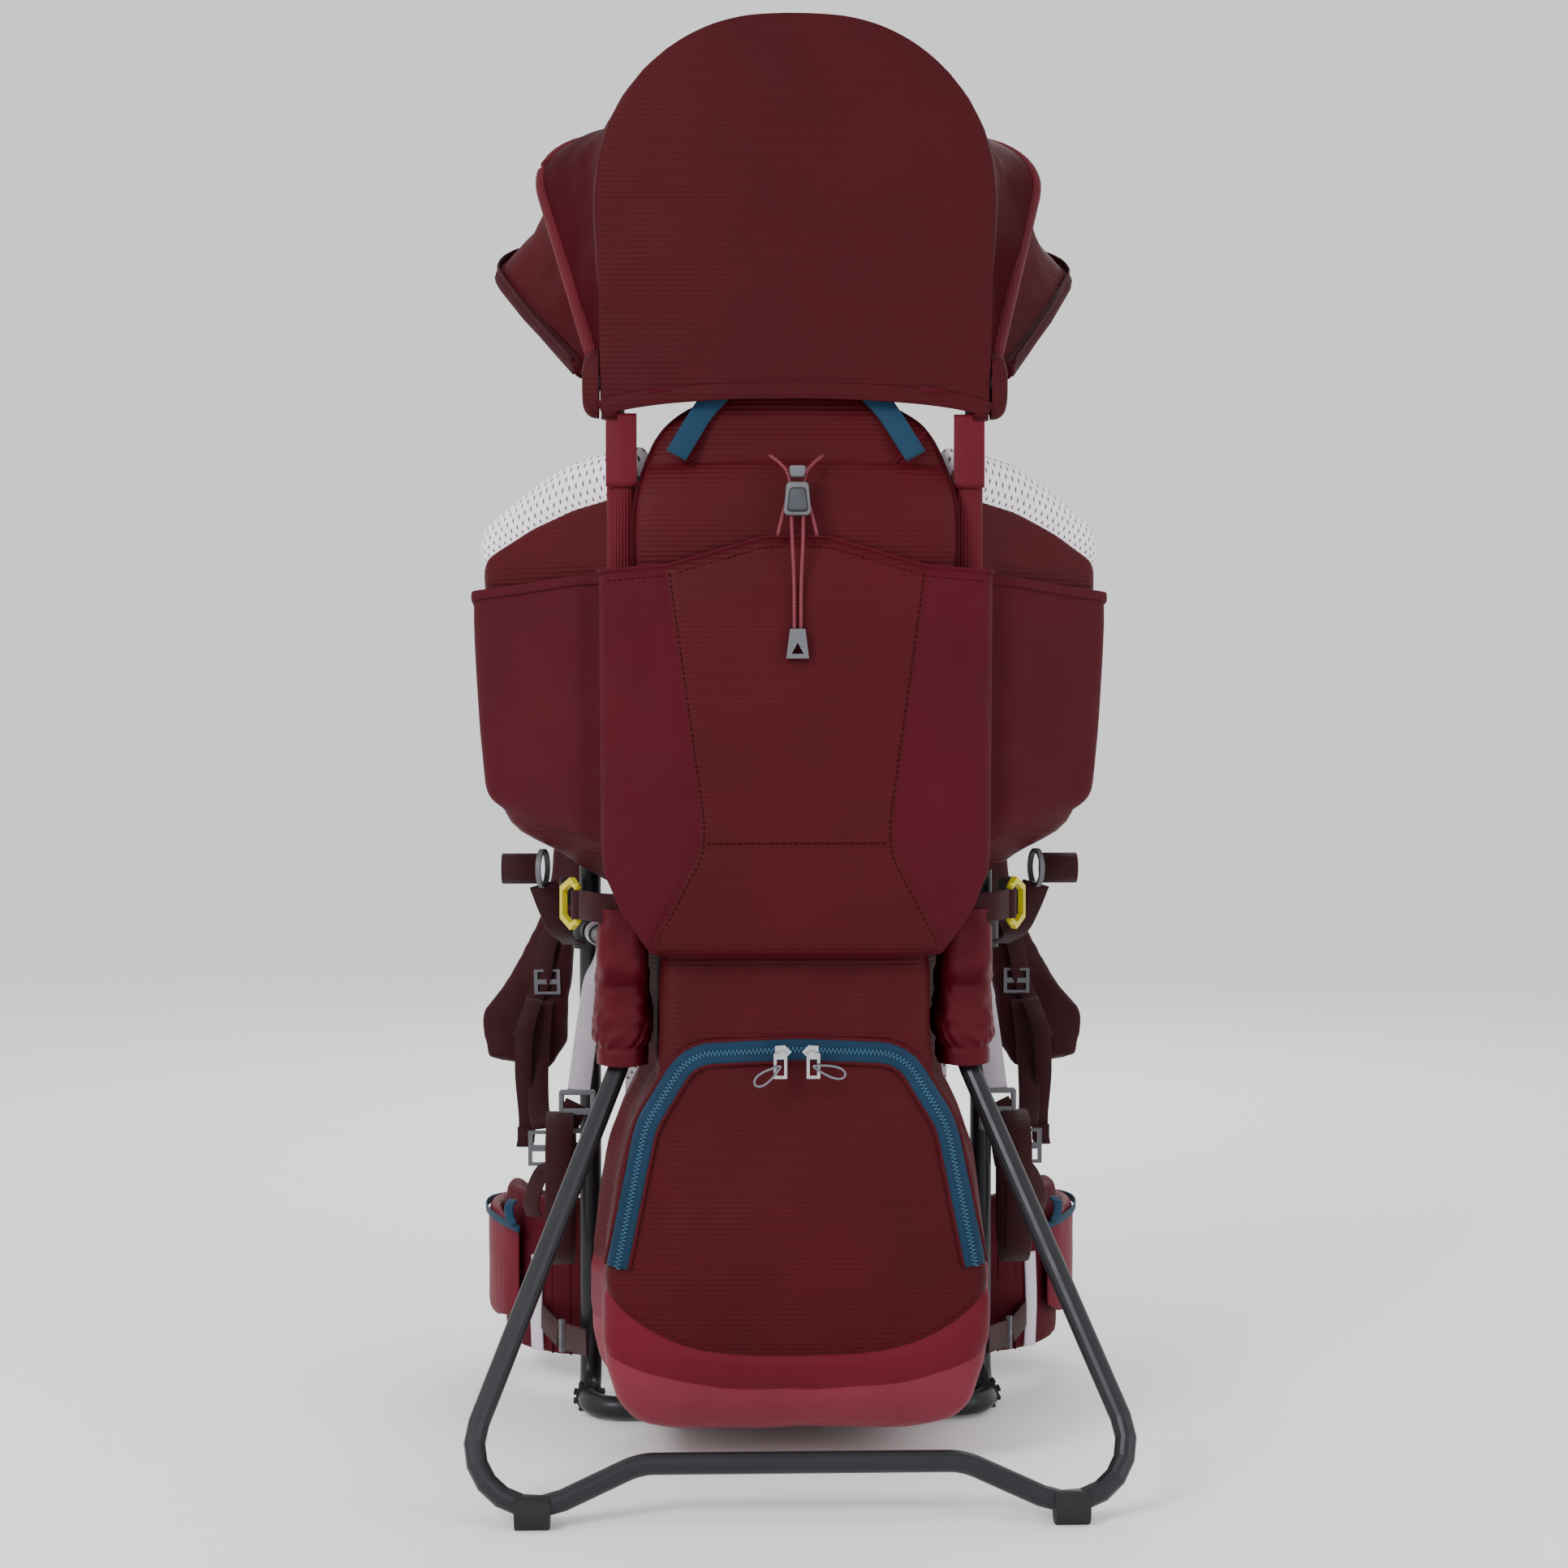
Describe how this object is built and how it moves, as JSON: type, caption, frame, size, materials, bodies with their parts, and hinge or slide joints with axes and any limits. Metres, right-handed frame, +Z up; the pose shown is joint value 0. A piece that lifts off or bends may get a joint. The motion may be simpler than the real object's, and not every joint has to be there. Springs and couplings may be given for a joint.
{
  "type": "child carrier backpack",
  "caption": "Framed child carrier backpack with a padded cabin, folding sun canopy, fold-out kickstand, lower bag, shoulder harness and hip belt.",
  "frame": {"origin": "centre of the bounding box's bottom face, on the ground", "axes": "+Z up, +Y towards the wearer, -Y towards the kickstand and luggage side, +X to the right as seen from the kickstand side"},
  "size_m": [0.479, 0.5284, 0.9777],
  "materials": {
    "tube": "satin",
    "hard_plastic": "moulded",
    "grey_plastic": "moulded, slightly glossy",
    "rubber": "matte",
    "bright_metal": "satin",
    "ripstop": "fine horizontal ripstop",
    "stretch": "smooth stretch weave",
    "canopy_cloth": "light ripstop",
    "red_lining": "light ribbed weave",
    "padded": "padded twill",
    "mesh": "perforated spacer mesh",
    "dark_webbing": "ribbed webbing",
    "blue_webbing": "ribbed webbing",
    "light_webbing": "smooth webbing",
    "cord": "braided elastic",
    "lime_plastic": "moulded"
  },
  "bodies": {
    "frame": {"main_frame_tube": "tube", "side_arms": "tube", "rear_uprights": "tube", "frame_brackets": "hard_plastic", "pivot_pins": "bright_metal", "base_pads": "rubber", "corner_pads": "rubber", "back_pads": "mesh", "lumbar_pad": "mesh", "cabin_shell": "padded", "cabin_rim": "mesh", "drool_pad": "mesh", "side_pocket_left": "stretch", "side_pocket_right": "stretch", "backrest_panel": "ripstop", "rod_channels": "red_lining", "stuff_pocket": "stretch", "grab_handle": "blue_webbing", "lower_bag": "ripstop", "bag_zip_tape": "blue_webbing", "stand_boots": "red_lining", "bungee_cord": "cord", "cord_pull": "grey_plastic", "child_harness": "padded", "harness_buckle": "hard_plastic", "hip_fin_left": "padded", "hip_fin_right": "padded", "hip_pockets": "red_lining", "belt_webbing": "dark_webbing", "belt_buckle_socket": "hard_plastic", "frame_straps": "dark_webbing", "frame_strap_locks": "grey_plastic"},
    "kickstand": {"kickstand_tube": "tube", "kickstand_fittings": "hard_plastic", "kickstand_feet": "rubber"},
    "canopy_rear": {"canopy_rear_hoop": "tube", "canopy_hubs": "hard_plastic", "canopy_rear_panel": "canopy_cloth"},
    "canopy_mid": {"canopy_mid_hoop": "tube", "canopy_mid_panel": "canopy_cloth"},
    "canopy_front": {"canopy_front_hoop": "tube", "canopy_front_panel": "canopy_cloth"},
    "shoulder_harness": {"shoulder_yoke": "padded", "shoulder_strap_left": "padded", "shoulder_strap_right": "padded", "shoulder_locks": "grey_plastic", "harness_webbing": "dark_webbing", "sternum_strap": "dark_webbing"},
    "sternum_plug": {"sternum_plug": "hard_plastic"},
    "belt_plug": {"belt_buckle_plug": "hard_plastic"},
    "seat": {"seat_pad": "mesh"},
    "stirrup_left": {"stirrup_left": "light_webbing"},
    "stirrup_right": {"stirrup_right": "light_webbing"},
    "hook_left": {"side_hook_left": "lime_plastic"},
    "hook_right": {"side_hook_right": "lime_plastic"},
    "zip_left": {"zip_slider_left": "bright_metal"},
    "zip_right": {"zip_slider_right": "bright_metal"},
    "cord_lock": {"cord_lock_body": "grey_plastic"},
    "cord_button": {"cord_lock_button": "grey_plastic"},
    "harness_button": {"harness_button": "lime_plastic"}
  },
  "joints": [
    {"name": "kickstand_fold", "type": "hinge", "parent": "frame", "child": "kickstand", "pos_m": [0, -0.069, 0.32], "axis": [1, 0, 0], "range_deg": [0, 38]},
    {"name": "canopy_lift", "type": "slide", "parent": "frame", "child": "canopy_rear", "axis": [0, 0, 1], "range_m": [0, 0.06]},
    {"name": "canopy_mid_fold", "type": "hinge", "parent": "canopy_rear", "child": "canopy_mid", "pos_m": [0, -0.125, 0.735], "axis": [1, 0, 0], "range_deg": [0, 32], "deforming": ["canopy_mid_panel"]},
    {"name": "canopy_front_fold", "type": "hinge", "parent": "canopy_mid", "child": "canopy_front", "pos_m": [0, -0.125, 0.735], "axis": [1, 0, 0], "range_deg": [0, 20], "deforming": ["canopy_front_panel"]},
    {"name": "harness_height", "type": "slide", "parent": "frame", "child": "shoulder_harness", "axis": [0, 0, 1], "range_m": [-0.03, 0.03], "deforming": ["harness_webbing"]},
    {"name": "sternum_release", "type": "slide", "parent": "shoulder_harness", "child": "sternum_plug", "axis": [1, 0, 0], "range_m": [0, 0.012]},
    {"name": "belt_release", "type": "slide", "parent": "frame", "child": "belt_plug", "axis": [1, 0, 0], "range_m": [0, 0.018]},
    {"name": "seat_height", "type": "slide", "parent": "frame", "child": "seat", "axis": [0, 0, 1], "range_m": [0, 0.035]},
    {"name": "stirrup_swing_right", "type": "hinge", "parent": "frame", "child": "stirrup_right", "pos_m": [0.13917, 0.015, 0.352], "axis": [-0.1644, -0.9864, 0], "range_deg": [0, 40]},
    {"name": "stirrup_swing_left", "type": "hinge", "parent": "frame", "child": "stirrup_left", "pos_m": [-0.13917, 0.015, 0.352], "axis": [0.1644, -0.9864, 0], "range_deg": [-40, 0]},
    {"name": "hook_swing_right", "type": "hinge", "parent": "frame", "child": "hook_right", "pos_m": [0.148, -0.1085, 0.382], "axis": [0, 0, 1], "range_deg": [-70, 0]},
    {"name": "hook_swing_left", "type": "hinge", "parent": "frame", "child": "hook_left", "pos_m": [-0.148, -0.1085, 0.382], "axis": [0, 0, 1], "range_deg": [0, 70]},
    {"name": "zip_slide_right", "type": "slide", "parent": "frame", "child": "zip_right", "axis": [1, 0, 0], "range_m": [0, 0.05]},
    {"name": "zip_slide_left", "type": "slide", "parent": "frame", "child": "zip_left", "axis": [-1, 0, 0], "range_m": [0, 0.05]},
    {"name": "cord_lock_slide", "type": "slide", "parent": "frame", "child": "cord_lock", "axis": [0, 0, -1], "range_m": [0, 0.008]},
    {"name": "cord_lock_press", "type": "slide", "parent": "cord_lock", "child": "cord_button", "axis": [0, 0, -1], "range_m": [0, 0.003], "stiffness_N_per_m": 400, "springref_m": -0.002},
    {"name": "harness_press", "type": "slide", "parent": "frame", "child": "harness_button", "axis": [0, -1, 0], "range_m": [0, 0.003], "stiffness_N_per_m": 400, "springref_m": -0.002}
  ],
  "couplings": [
    {"joint": "canopy_front_fold", "follows": "canopy_mid_fold", "ratio": 0.625}
  ]
}
